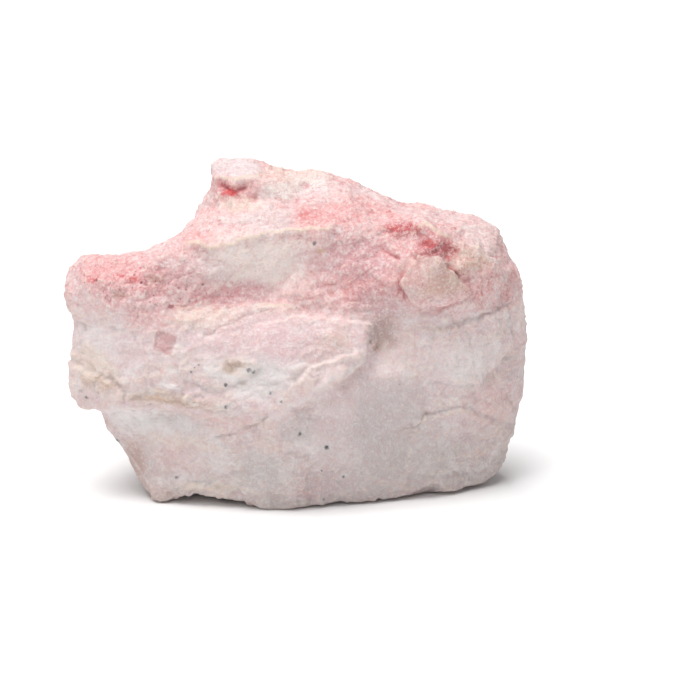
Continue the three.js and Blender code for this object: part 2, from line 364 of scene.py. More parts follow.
def rough(points, size, octaves):
    """Fractal unevenness about zero, with the given size of its broadest bumps."""
    return np.array([noise.fractal(Vector(point), 0.6, 2.0, octaves) for point in points / size])


def smooth_between(low, high, values):
    """0 below low, 1 above high and a smooth rise between them."""
    share = np.clip((values - low) / (high - low), 0, 1)
    return share * share * (3 - 2 * share)


def terraces(points, size):
    """Steps with crisp risers about zero, as where thin layers broke off one after another."""
    value = 2.4 * rough(points, size, 3)
    level = np.floor(value)
    return level + smooth_between(0.38, 0.62, value - level) - 0.7 * value


def within(points, corners):
    """1 inside a flat shape seen from the front, 0 outside it, with a crisp and slightly uneven border."""
    corners = np.array(corners)
    across = points[:, [2, 0]]
    flat = points[:, [0, 2]] + 0.07 * np.sin(across * 4.3) + 0.04 * np.sin(across * 11.7)
    outside = np.full(len(points), -np.inf)
    for start, end in zip(corners, np.roll(corners, -1, axis=0)):
        along = (end - start) / np.linalg.norm(end - start)
        outside = np.maximum(outside, (flat - start) @ np.array((along[1], -along[0])))
    return smooth_between(0.10, -0.10, outside)


def reach_of(points, place, reach):
    """1 at a place, falling smoothly to 0 at its reach along each axis."""
    distance = np.linalg.norm((points - np.array(place)) / np.array(reach), axis=1)
    return 1 - smooth_between(0.55, 1.15, distance)


def nearest_on_line(points, line):
    """For each point, the nearest point of a line, and how far off it is as seen from the front."""
    flatten = np.array((1, DEPTH_COUNTS, 1))
    points = points * flatten
    line = np.array(line) * flatten
    best = np.full(len(points), np.inf)
    nearest = np.zeros_like(points)
    for start, end in zip(line[:-1], line[1:]):
        along = end - start
        share = np.clip((points - start) @ along / (along @ along), 0, 1)
        candidate = start + share[:, None] * along
        distance = np.linalg.norm(points - candidate, axis=1)
        closer = distance < best
        best[closer] = distance[closer]
        nearest[closer] = candidate[closer]
    return nearest / flatten, best


class Skin:
    """The points of the stone's skin in millimetres, with the edges that join them."""

    def __init__(self, mesh):
        count = len(mesh.vertices)
        self.mesh = mesh
        self.points = np.empty(count * 3)
        mesh.vertices.foreach_get("co", self.points)
        self.points = self.points.reshape(-1, 3) / MM
        normals = np.empty(count * 3)
        mesh.vertices.foreach_get("normal", normals)
        self.normals = normals.reshape(-1, 3)
        edges = np.empty(len(mesh.edges) * 2, np.int32)
        mesh.edges.foreach_get("vertices", edges)
        self.edges = edges.reshape(-1, 2)
        self.neighbours = np.bincount(self.edges.ravel(), minlength=count)

    def evened(self, values, passes):
        """Values drawn towards their neighbours' mean, once for each pass."""
        for _ in range(passes):
            total = np.zeros_like(values)
            np.add.at(total, self.edges[:, 0], values[self.edges[:, 1]])
            np.add.at(total, self.edges[:, 1], values[self.edges[:, 0]])
            share = self.neighbours if values.ndim == 1 else self.neighbours[:, None]
            values = 0.4 * values + 0.6 * total / share
        return values

    def outward(self, passes):
        """The evened outward direction at each point."""
        directions = self.evened(self.normals, passes)
        return directions / np.linalg.norm(directions, axis=1)[:, None]

    def write(self):
        self.mesh.vertices.foreach_set("co", (self.points * MM).ravel())
        self.mesh.update()

    def store(self, name, values):
        """Keeps a value at each point for the material to read."""
        layer = self.mesh.attributes.new(name, "FLOAT", "POINT")
        layer.data.foreach_set("value", values.astype(np.float32))


def even_mesh(node, grain):
    """A copy of the node's mesh, divided evenly into faces of one size."""
    draft = bpy.data.objects.new("draft", node.data.copy())
    bpy.context.scene.collection.objects.link(draft)
    weld = draft.modifiers.new("weld", "WELD")
    weld.merge_threshold = WELD_REACH
    divide = draft.modifiers.new("divide", "REMESH")
    divide.mode = "VOXEL"
    divide.voxel_size = grain
    divide.use_smooth_shade = True
    finished = draft.evaluated_get(bpy.context.evaluated_depsgraph_get())
    mesh = bpy.data.meshes.new_from_object(finished)
    bpy.data.objects.remove(draft)
    mesh.name = "stone"
    return mesh


def closeness(points, lines, waviness):
    """How near each point is to any of a set of lines: 1 on a line, falling off over the line's width."""
    near = np.zeros(len(points))
    wavy = points + waviness * np.sin(points[:, ::-1] * 3.1)
    for width, _, line in lines:
        _, distance = nearest_on_line(wavy, line)
        near = np.maximum(near, np.exp(-((distance / width) ** 1.3)))
    return near


# What breaks up the skin, broad to fine: (setting with its depth, pattern, stretch along Z, shift, the
# pattern's own values, which start with its size).
BREAKS = (
    ("broad_scoops", scoops, 1.25, 0, (4.6, 0.7)),
    ("small_scoops", scoops, 1.5, 31, (1.9, 0.8)),
    ("chips", scoops, 1, 57, (0.95, 0.9)),
    ("plates", terraces, 1.7, 11, (5.2,)),
    ("grit", scoops, 1, 83, (0.52, 0.9)),
)


def relief(points, settings):
    """How far each point of the skin stands out or in, in millimetres."""
    noise.seed_set(settings.seed)
    height = np.zeros(len(points))
    for name, pattern, stretch, shift, values in BREAKS:
        height += getattr(settings, name) / MM * pattern(points * (1, 1, stretch) + shift, *values)
    crumbly = smooth_between(16, 19.5, points[:, 2] + 1.2 * rough(points, 4, 2))
    height += settings.sugar / MM * (0.3 + 0.7 * crumbly) * rough(points, 0.62, 4)
    for kept, place, reach in CALM_FACES:
        height *= 1 - (1 - kept) * reach_of(points, place, reach)
    for gain, place, reach in CRUMBLY_PLACES:
        height += gain * reach_of(points, place, reach) * rough(points + 43, 0.8, 4)
    for rise, lean, side, corners in PLATES:
        middle = np.mean(corners, axis=0)
        lift = rise + (points[:, [0, 2]] - middle) @ np.array(lean)
        height += lift * within(points, corners) * smooth_between(0, 3, side * points[:, 1])
    uneven = np.clip(0.85 + 1.1 * rough(points + 19, 1.3, 3), 0.15, 1.3)
    for width, rise, line in RAISED_EDGES:
        height += rise * uneven * closeness(points, [(width, rise, line)], EDGE_WAVINESS)
    for width, depth, line in CRACKS:
        height -= depth * uneven * closeness(points, [(width, depth, line)], CRACK_WAVINESS)
    for rise, reach, side, line in SCARPS:
        wavy = points + 0.25 * np.sin(points[:, ::-1] * 1.7) + 0.45 * np.sin(points[:, ::-1] * 0.6)
        nearest, distance = nearest_on_line(wavy, line)
        proud = smooth_between(-0.12, 0.12, (wavy - nearest) @ np.array(side, float))
        height += rise * uneven * proud * np.exp(-((distance / reach) ** 2))
    return height


def break_up(mesh, settings):
    """Breaks up the skin. Keeps where its lines run, and how hollow each point lies, for the material."""
    skin = Skin(mesh)
    skin.points = skin.evened(skin.points, EVENING_PASSES)
    skin.store("raised", closeness(skin.points, RAISED_EDGES, EDGE_WAVINESS))
    skin.store("open", closeness(skin.points, CRACKS, CRACK_WAVINESS))
    foot = smooth_between(0.0, FLAT_FOOT, skin.points[:, 2])
    height = relief(skin.points, settings) * foot
    skin.points += skin.outward(OUTWARD_PASSES) * height[:, None]
    skin.points[:, 2] = np.maximum(skin.points[:, 2], 0)
    lowest = np.array(CAD_BOX[0]) / MM
    highest = np.array(CAD_BOX[1]) / MM
    skin.points = np.clip(skin.points, lowest, highest)
    skin.write()
    skin = Skin(mesh)
    outward = skin.outward(FINAL_OUTWARD_PASSES)
    for name, passes, scale in HOLLOWS:
        sunk = ((skin.evened(skin.points, passes) - skin.points) * outward).sum(axis=1)
        skin.store(name, 0.5 + 0.5 * np.clip(sunk / scale, -1, 1))


# ---------------------------------------------------------------- the material's nodes


class Wire:
    """A socket in the material. Sums, differences and products of wires add the nodes for them."""

    def __init__(self, graph, socket):
        self.graph = graph
        self.socket = socket

    def _math(self, operation, first, second):
        return self.graph.add("ShaderNodeMath", {"operation": operation}, {0: first, 1: second})

    def __add__(self, other):
        return self._math("ADD", self, other)

    __radd__ = __add__

    def __mul__(self, other):
        return self._math("MULTIPLY", self, other)

    __rmul__ = __mul__

    def __sub__(self, other):
        return self._math("SUBTRACT", self, other)

    def __rsub__(self, other):
        return self._math("SUBTRACT", other, self)

    def __abs__(self):
        return self._math("ABSOLUTE", self, 0)


class Graph:
    """The nodes of one material."""

    def __init__(self, material):
        material.use_nodes = True
        self.tree = material.node_tree
        self.tree.nodes.clear()

    def add(self, kind, settings, sockets, output=0):
        """Adds a node: its settings, then the value or wire of each socket. Returns its output wire."""
        node = self.tree.nodes.new(kind)
        for name, value in settings.items():
            setattr(node, name, value)
        for key, value in sockets.items():
            if isinstance(value, Wire):
                self.tree.links.new(value.socket, node.inputs[key])
            else:
                node.inputs[key].default_value = value
        return Wire(self, node.outputs[output])

    def add_output(self, surface):
        """Ends the graph with its surface."""
        output = self.tree.nodes.new("ShaderNodeOutputMaterial")
        self.tree.links.new(surface.socket, output.inputs["Surface"])

    def attribute(self, name):
        """A value that the mesh keeps at each of its points."""
        return self.add("ShaderNodeAttribute", {"attribute_name": name}, {}, "Fac")

    def vector(self, operation, first, second):
        return self.add("ShaderNodeVectorMath", {"operation": operation}, {0: first, 1: second})

    def axis(self, place, name):
        """One coordinate of a place: X, Y or Z."""
        return self.add("ShaderNodeSeparateXYZ", {}, {0: place}, name)

    def length(self, vector):
        return self.add("ShaderNodeVectorMath", {"operation": "LENGTH"}, {0: vector}, "Value")

    def ramp(self, value, low, high):
        """0 up to low, 1 from high on, smooth between. low may be the larger of the two."""
        settings = {"interpolation_type": "SMOOTHSTEP"}
        return self.add("ShaderNodeMapRange", settings, {"Value": value, "From Min": low, "From Max": high})

    def noise(self, place, size, detail=3.0, roughness=0.55, output="Fac"):
        """Noise whose broadest marks are about size millimetres across."""
        sockets = {"Vector": place, "Scale": 1 / size, "Detail": detail, "Roughness": roughness}
        return self.add("ShaderNodeTexNoise", {}, sockets, output)

    def cells(self, place, size, output="Distance"):
        """The distance to, or the colour or place of, the nearest of many points size millimetres apart."""
        return self.add("ShaderNodeTexVoronoi", {}, {"Vector": place, "Scale": 1 / size}, output)

    def cell_number(self, place, size):
        """A number from 0 to 1 for each of many small cells about size millimetres across."""
        return self.add("ShaderNodeSeparateColor", {}, {0: self.cells(place, size, "Color")}, 0)

    def facets(self, place, size):
        """The height of small flat faces, each tilted its own way, about size millimetres across."""
        tilt = self.vector("SUBTRACT", self.cells(place, size, "Color"), (0.5, 0.5, 0.5))
        offset = self.vector("SUBTRACT", place, self.cells(place, size, "Position"))
        return self.add("ShaderNodeVectorMath", {"operation": "DOT_PRODUCT"}, {0: tilt, 1: offset}, "Value")

    def mix(self, share, base, over):
        """Base turning into over as the share goes from 0 to 1. Both are colours."""
        settings = {"data_type": "RGBA"}
        sockets = {0: share, 6: self.opaque(base), 7: self.opaque(over)}
        return self.add("ShaderNodeMix", settings, sockets, 2)

    def opaque(self, colour):
        return colour if isinstance(colour, Wire) else (*colour[:3], 1)

    def warped(self, place, size, reach):
        """Place pushed about by noise, by up to about reach millimetres."""
        push = self.vector("SUBTRACT", self.noise(place, size, output="Color"), (0.5, 0.5, 0.5))
        return self.vector("ADD", place, self.vector("MULTIPLY", push, (2 * reach, 2 * reach, 2 * reach)))

    def tile(self, place, centre, half, turn):
        """1 inside a square on the show face, given its centre as (x, z), its half width and its turn."""
        x = self.axis(place, "X") - centre[0]
        z = self.axis(place, "Z") - centre[1]
        across = abs(x * math.cos(turn) + z * math.sin(turn))
        upward = abs(z * math.cos(turn) - x * math.sin(turn))
        furthest = self.add("ShaderNodeMath", {"operation": "MAXIMUM"}, {0: across, 1: upward})
        front = self.ramp(self.axis(place, "Y"), 0, -3)
        return self.ramp(furthest, half * 1.12, half * 0.88) * front

    def patch(self, place, centre, reach, soft=0.5):
        """1 inside an egg-shaped patch, 0 outside it, with a soft border."""
        offset = self.vector("SUBTRACT", place, centre)
        share = self.length(self.vector("DIVIDE", offset, reach))
        return self.ramp(share, 1 + soft, 1 - soft)


# The pink top starts to show at the first height and is full at the second.
PINK_FROM = 16.0
PINK_FULL = 19.8

# The smooth buff face under the raised edge, and the crumbly band on the left lobe: (centre, reach).
BUFF_FACE = ((-3.0, -6.0, 22.2), (6.4, 3.0, 2.5))
CRUMBLY_BAND = ((-14.5, -6.5, 20.2), (6.5, 3.0, 1.6))

# The square mark: its centre as (x, z), its half width and its turn.
SQUARE_MARK = ((-11.7, 15.5), 0.88, -0.25)

# Patches of colour: (colour, strength, centre, reach). Most lie in the stone; a few paint shade or light,
# as noted.
PATCHES = (
    ("buff", 1.00, *BUFF_FACE),
    # Paler buff face: partly its own colour, partly painted light.
    ("white", 0.34, (-3.2, -6.0, 22.2), (6.0, 3.0, 2.3)),
    ("lilac", 0.55, (-8.0, -5.6, 21.6), (2.2, 2.0, 1.6)),
    ("deep_rose", 0.60, (-15.6, -5.2, 21.4), (5.0, 2.8, 1.3)),
    ("deep_rose", 0.35, (-14.8, -6.4, 20.5), (5.4, 2.8, 1.5)),
    ("mauve", 0.42, (-14.6, -6.8, 19.0), (4.4, 2.6, 1.5)),
    ("rose", 0.60, (-12.6, -7.6, 17.4), (3.0, 2.2, 0.9)),
    ("mauve", 0.60, (-10.6, -6.0, 21.6), (2.4, 2.0, 1.4)),
    ("deep_rose", 0.55, (-9.4, -4.2, 24.2), (1.8, 2.0, 0.9)),
    ("deep_rose", 0.75, (1.2, -3.4, 26.1), (2.6, 2.0, 1.1)),
    ("deep_rose", 0.62, (6.6, -2.6, 26.0), (3.8, 2.4, 1.3)),
    ("deep_rose", 0.64, (6.4, -6.0, 21.2), (4.6, 3.0, 2.9)),
    ("deep_rose", 0.85, (12.6, -5.8, 24.2), (2.2, 1.8, 1.1)),
    ("mauve", 0.85, (5.2, -6.2, 22.6), (4.0, 3.0, 1.7)),
    ("mauve", 0.65, (8.2, -6.6, 19.2), (2.8, 2.4, 1.4)),
    ("mauve", 0.90, (-4.2, -6.2, 19.7), (1.9, 1.8, 0.9)),
    ("mauve", 0.85, (-6.8, -6.4, 19.0), (1.5, 1.6, 0.6)),
    ("rose", 0.60, (1.8, -6.6, 19.8), (2.6, 1.8, 1.2)),
    ("white", 0.80, (-2.8, -4.0, 25.8), (2.4, 2.0, 0.9)),
    ("lilac", 0.55, (-2.6, -4.2, 25.8), (2.8, 2.0, 0.9)),
    ("ash", 0.40, (-2.6, -4.2, 25.8), (2.8, 2.0, 0.9)),
    ("rose", 0.26, (-2.6, -4.2, 25.8), (2.6, 2.0, 0.9)),
    ("cream", 0.70, (-5.0, -2.2, 26.7), (2.6, 1.6, 0.5)),
    ("white", 0.75, (1.0, 0.4, 27.8), (2.6, 2.0, 0.6)),
    ("cream", 0.60, (-1.8, -0.8, 27.6), (1.8, 1.6, 0.7)),
    ("cream", 0.55, (0.0, 2.4, 28.4), (4.4, 3.0, 0.8)),
    ("lilac", 0.80, (-5.6, 0.6, 29.3), (2.4, 2.4, 0.8)),
    ("white", 0.50, (-5.6, 0.6, 29.3), (2.6, 2.6, 0.9)),
    ("white", 0.60, (-2.2, -1.0, 27.5), (1.8, 1.6, 0.6)),
    ("deep_rose", 0.60, (-5.4, -1.4, 27.6), (2.2, 1.6, 0.7)),
    ("clay", 0.95, (12.2, -8.0, 21.4), (2.8, 2.4, 2.0)),
    ("rose", 0.50, (10.8, -7.8, 21.8), (1.2, 1.6, 1.2)),
    ("ash", 0.50, (10.6, -7.4, 20.2), (0.9, 1.4, 0.9)),
    ("tan", 0.50, (13.2, -7.6, 20.8), (1.6, 1.8, 1.2)),
    ("tan", 0.75, (16.0, -5.2, 22.2), (2.2, 1.8, 1.1)),
    ("pale", 0.60, (17.4, -1.6, 23.4), (3.0, 4.0, 1.4)),
    ("buff", 0.80, (-7.6, -7.6, 17.5), (3.4, 1.8, 0.9)),
    ("tan", 0.40, (-7.4, -7.6, 17.8), (3.4, 1.8, 1.0)),
    ("cream", 0.35, (-2.4, -7.4, 18.4), (2.6, 1.2, 0.35)),
    ("lilac", 0.90, (-2.0, -9.0, 16.0), (6.6, 3.4, 2.2)),
    ("mauve", 0.45, (-1.6, -9.0, 16.2), (6.6, 3.4, 2.0)),
    ("lilac", 0.80, (-14.4, -7.4, 14.6), (3.6, 2.6, 1.6)),
    ("white", 0.60, (-17.4, -5.6, 14.8), (2.2, 2.6, 1.6)),
    # Painted shade: the ash, mauve and brown patches centred near (7.7, -6.8, 17) and the grey one below
    # them darken the hollow right of the belly, for the recess and a shadow cast over it.
    ("ash", 0.40, (8.0, -6.8, 17.4), (2.4, 2.4, 2.0)),
    ("mauve", 0.60, (7.8, -6.8, 17.0), (2.0, 2.4, 2.2)),
    ("brown", 0.40, (7.6, -6.8, 16.2), (1.5, 2.4, 1.8)),
    ("mauve", 0.45, (6.4, -7.2, 18.4), (1.6, 2.0, 1.0)),
    ("painted_shade", 0.20, (7.6, -6.9, 16.0), (1.2, 2.0, 1.7)),
    ("white", 1.00, (-3.4, -10.3, 12.8), (3.2, 2.4, 1.8)),
    ("white", 0.70, (-6.2, -9.8, 13.4), (1.8, 1.8, 0.9)),
    ("ash", 0.65, (-2.0, -10.6, 12.0), (1.4, 1.6, 0.6)),
    ("buff", 0.60, (-5.3, -9.8, 13.8), (1.6, 1.4, 0.9)),
    ("white", 0.75, (2.2, -10.4, 13.4), (3.6, 2.4, 0.7)),
    ("white", 1.00, (-12.6, -7.8, 7.8), (5.0, 2.8, 1.1)),
    # Painted light: lightens the downward-facing pale band under the left ledge.
    ("white", 0.70, (-14.0, -7.2, 7.6), (3.4, 2.6, 1.3)),
    ("buff", 0.85, (-12.6, -8.2, 10.4), (5.6, 2.6, 0.7)),
    ("cream", 0.70, (-18.6, -6.0, 12.8), (2.2, 2.6, 1.2)),
    ("tan", 0.60, (-17.6, -6.2, 11.4), (2.0, 2.4, 0.5)),
    ("tan", 0.40, (-8.8, -9.6, 10.4), (2.8, 2.4, 0.7)),
    ("tan", 0.38, (-11.6, -8.6, 10.6), (2.8, 2.4, 0.8)),
    ("brown", 0.14, (-10.4, -8.9, 10.3), (4.0, 2.4, 0.6)),
    ("rose", 0.45, (3.4, -10.4, 13.4), (3.4, 2.4, 0.9)),
    ("tan", 0.35, (3.4, -8.6, 15.9), (1.9, 2.0, 1.0)),
    ("buff", 0.70, (-10.4, -8.6, 6.2), (3.4, 2.4, 0.7)),
    ("tan", 0.50, (-14.8, -5.6, 3.0), (1.2, 2.4, 2.4)),
    ("mauve", 0.50, (-14.8, -5.6, 3.0), (1.2, 2.4, 2.4)),
    ("brown", 0.30, (-14.8, -5.6, 3.0), (1.2, 2.4, 2.4)),
    ("clay", 0.60, (-12.6, -6.8, 1.0), (2.4, 2.4, 0.9)),
    ("ash", 0.90, (-3.0, -10.0, 4.2), (2.2, 2.6, 1.7)),
    ("white", 0.55, (-7.6, -9.6, 4.6), (2.2, 2.4, 1.0)),
    ("rose", 0.30, (-10.4, -8.4, 4.4), (2.6, 2.4, 1.4)),
    ("white", 0.60, (1.6, -10.4, 6.6), (1.8, 2.4, 0.9)),
    ("rose", 0.30, (-6.2, -10.4, 8.6), (2.4, 2.4, 0.9)),
    ("ash", 0.70, (0.4, -10.2, 8.4), (2.0, 2.4, 1.5)),
    # The next two patches grey the shell-shaped break at the lower right: partly its own lilac and grey,
    # partly painted shadow cast over it.
    ("lilac", 0.75, (7.0, -9.2, 8.6), (4.8, 3.4, 5.2)),
    ("ash", 0.75, (8.4, -8.8, 7.4), (4.8, 3.4, 5.2)),
    ("cream", 0.80, (-7.6, -9.0, 2.1), (2.8, 1.6, 0.35)),
    ("mauve", 0.45, (1.4, -9.2, 1.8), (2.2, 1.8, 1.0)),
    ("ash", 0.60, (-1.6, -9.6, 1.2), (1.2, 1.6, 0.6)),
    ("white", 0.60, (15.0, -6.0, 13.0), (3.6, 3.4, 2.0)),
    ("rose", 0.45, (17.4, -3.4, 8.6), (2.8, 3.4, 2.4)),
    ("ash", 0.60, (12.6, -7.0, 4.2), (3.0, 2.4, 1.8)),
    ("deep_rose", 0.60, (8.0, 6.6, 21.4), (4.4, 3.6, 1.8)),
    ("mauve", 0.55, (-10.4, 6.0, 19.0), (3.4, 3.0, 1.8)),
    ("white", 0.70, (-2.0, 9.8, 14.6), (5.0, 3.0, 1.8)),
    ("buff", 0.70, (9.0, 9.6, 12.4), (4.4, 3.0, 1.6)),
    ("lilac", 0.70, (-8.0, 8.4, 6.0), (4.6, 3.4, 2.6)),
    ("ash", 0.70, (6.0, 9.4, 5.4), (4.0, 3.0, 2.0)),
)

# Small marks with a ragged border: (colour, strength, centre, reach).
MARKS = (
    ("garnet", 0.50, (-6.0, -1.4, 27.6), (1.40, 1.2, 0.50)),
    ("red", 1.00, (-5.8, -1.5, 27.5), (0.80, 1.2, 0.26)),
    ("red", 0.55, (-6.9, -1.0, 27.9), (0.50, 1.0, 0.24)),
    ("garnet", 0.80, (9.8, -4.4, 24.9), (2.20, 1.6, 0.70)),
    ("red", 0.60, (8.8, -4.2, 24.9), (0.70, 1.4, 0.26)),
    ("red", 0.70, (10.4, -4.5, 25.1), (1.00, 1.4, 0.28)),
    ("wine", 0.28, (10.0, -4.4, 24.8), (1.80, 1.4, 0.50)),
    ("garnet", 0.80, (12.8, -6.0, 23.6), (1.70, 1.6, 0.90)),
    ("red", 0.65, (12.0, -6.0, 24.0), (0.80, 1.2, 0.28)),
    ("red", 0.40, (13.8, -5.6, 23.2), (0.90, 1.2, 0.60)),
    ("wine", 0.34, (12.8, -6.2, 23.4), (1.70, 1.4, 0.60)),
    # The next two marks paint shade into the crack over the block, as a dark red line.
    ("garnet", 0.60, (10.6, -7.0, 23.4), (1.50, 1.2, 0.40)),
    ("wine", 0.50, (12.2, -7.1, 23.5), (1.10, 1.0, 0.18)),
    ("red", 0.40, (1.2, -3.5, 26.0), (1.10, 1.0, 0.36)),
    ("red", 0.60, (-15.9, -6.2, 21.0), (0.60, 0.8, 0.26)),
    ("red", 0.60, (-14.6, -6.5, 20.8), (0.60, 0.8, 0.30)),
    ("red", 0.50, (-18.2, -5.5, 20.6), (0.50, 0.8, 0.26)),
    ("wine", 0.70, (-13.6, -6.6, 20.6), (0.34, 0.8, 0.20)),
    ("wine", 0.80, (-17.8, -5.8, 20.6), (0.20, 0.6, 0.16)),
    ("wine", 0.60, (-11.4, -6.7, 20.6), (0.16, 0.5, 0.14)),
    ("wine", 0.60, (-12.5, -7.4, 18.7), (0.18, 0.5, 0.16)),
    ("wine", 0.60, (-11.2, -7.2, 18.6), (0.24, 0.6, 0.16)),
    ("brown", 0.45, (-15.8, -6.8, 19.6), (0.80, 0.8, 0.40)),
    ("brown", 0.45, (-12.6, -6.6, 20.9), (0.80, 0.8, 0.40)),
    ("red", 0.70, (8.4, -1.5, 25.8), (0.22, 0.5, 0.18)),
    ("garnet", 0.60, (9.4, -7.2, 20.2), (0.30, 0.9, 1.00)),
    ("tan", 0.90, (2.3, -5.7, 23.3), (0.40, 0.5, 0.22)),
    ("white", 0.70, (-8.3, -0.2, 29.0), (0.40, 1.4, 0.80)),
    ("brown", 0.60, (-7.8, -0.2, 29.1), (0.10, 1.2, 0.70)),
    ("buff", 0.50, (-5.4, -9.8, 13.8), (1.30, 1.2, 0.80)),
    ("brown", 0.70, (-5.9, -9.8, 13.6), (0.60, 1.0, 0.50)),
    ("brown", 0.60, (-5.4, -9.8, 14.0), (0.80, 1.0, 0.34)),
    ("brown", 0.45, (-4.6, -9.8, 13.9), (0.90, 1.0, 0.24)),
    ("ash", 0.60, (-3.6, -10.2, 13.4), (0.90, 1.0, 0.40)),
    ("brown", 0.40, (-16.4, -6.9, 11.2), (1.40, 1.0, 0.22)),
    ("brown", 0.40, (-14.2, -7.8, 10.2), (0.90, 0.9, 0.30)),
    ("brown", 0.42, (-10.6, -9.2, 10.1), (1.60, 0.9, 0.26)),
    ("tan", 0.60, (-12.4, -8.5, 10.3), (0.90, 0.9, 0.30)),
    ("white", 0.60, (-9.0, -9.4, 10.2), (0.50, 0.9, 0.18)),
    ("brown", 0.40, (-7.9, -9.4, 10.4), (0.80, 0.9, 0.30)),
    ("brown", 0.80, (7.0, -7.1, 14.7), (0.50, 1.0, 0.18)),
    ("brown", 0.35, (-17.6, -6.3, 10.6), (0.60, 0.9, 0.40)),
    ("cream", 0.70, (-12.0, -8.7, 11.0), (0.50, 0.9, 0.20)),
    ("cream", 0.70, (-9.8, -9.2, 10.8), (0.60, 0.9, 0.16)),
    ("white", 0.70, (-11.2, -9.0, 11.7), (1.10, 0.9, 0.20)),
)

# Single dark specks: (strength, radius, centre). Those in the lower layers lie in a pale grey halo.
SPECKS = (
    (1.00, 0.20, (2.8, -10.3, 6.3)),
    (0.85, 0.17, (0.4, -10.9, 7.7)),
    (0.85, 0.15, (4.3, -9.2, 3.1)),
    (0.75, 0.14, (2.5, -8.9, 0.9)),
    (0.80, 0.18, (-4.1, -10.2, 13.6)),
    (0.70, 0.16, (-3.7, -10.3, 13.4)),
    (0.85, 0.14, (-6.2, -10.1, 12.1)),
    (0.85, 0.15, (-6.2, -10.8, 10.2)),
    (0.60, 0.12, (-2.2, -10.9, 11.6)),
    (0.60, 0.12, (-1.2, -11.2, 10.9)),
    (0.85, 0.11, (-9.3, -9.2, 13.1)),
    (0.85, 0.11, (-9.0, -9.2, 13.5)),
    (0.80, 0.10, (-8.6, -9.3, 13.8)),
    (0.70, 0.14, (-10.8, -8.3, 2.7)),
    (0.90, 0.18, (-18.9, -5.8, 9.6)),
    (0.80, 0.15, (-17.7, -6.6, 10.4)),
    (0.45, 0.20, (-19.4, -5.6, 10.2)),
    (0.90, 0.24, (-16.3, -5.4, 5.1)),
    (0.80, 0.14, (1.7, -5.6, 24.0)),
    (0.40, 0.16, (3.4, -7.6, 15.6)),
)


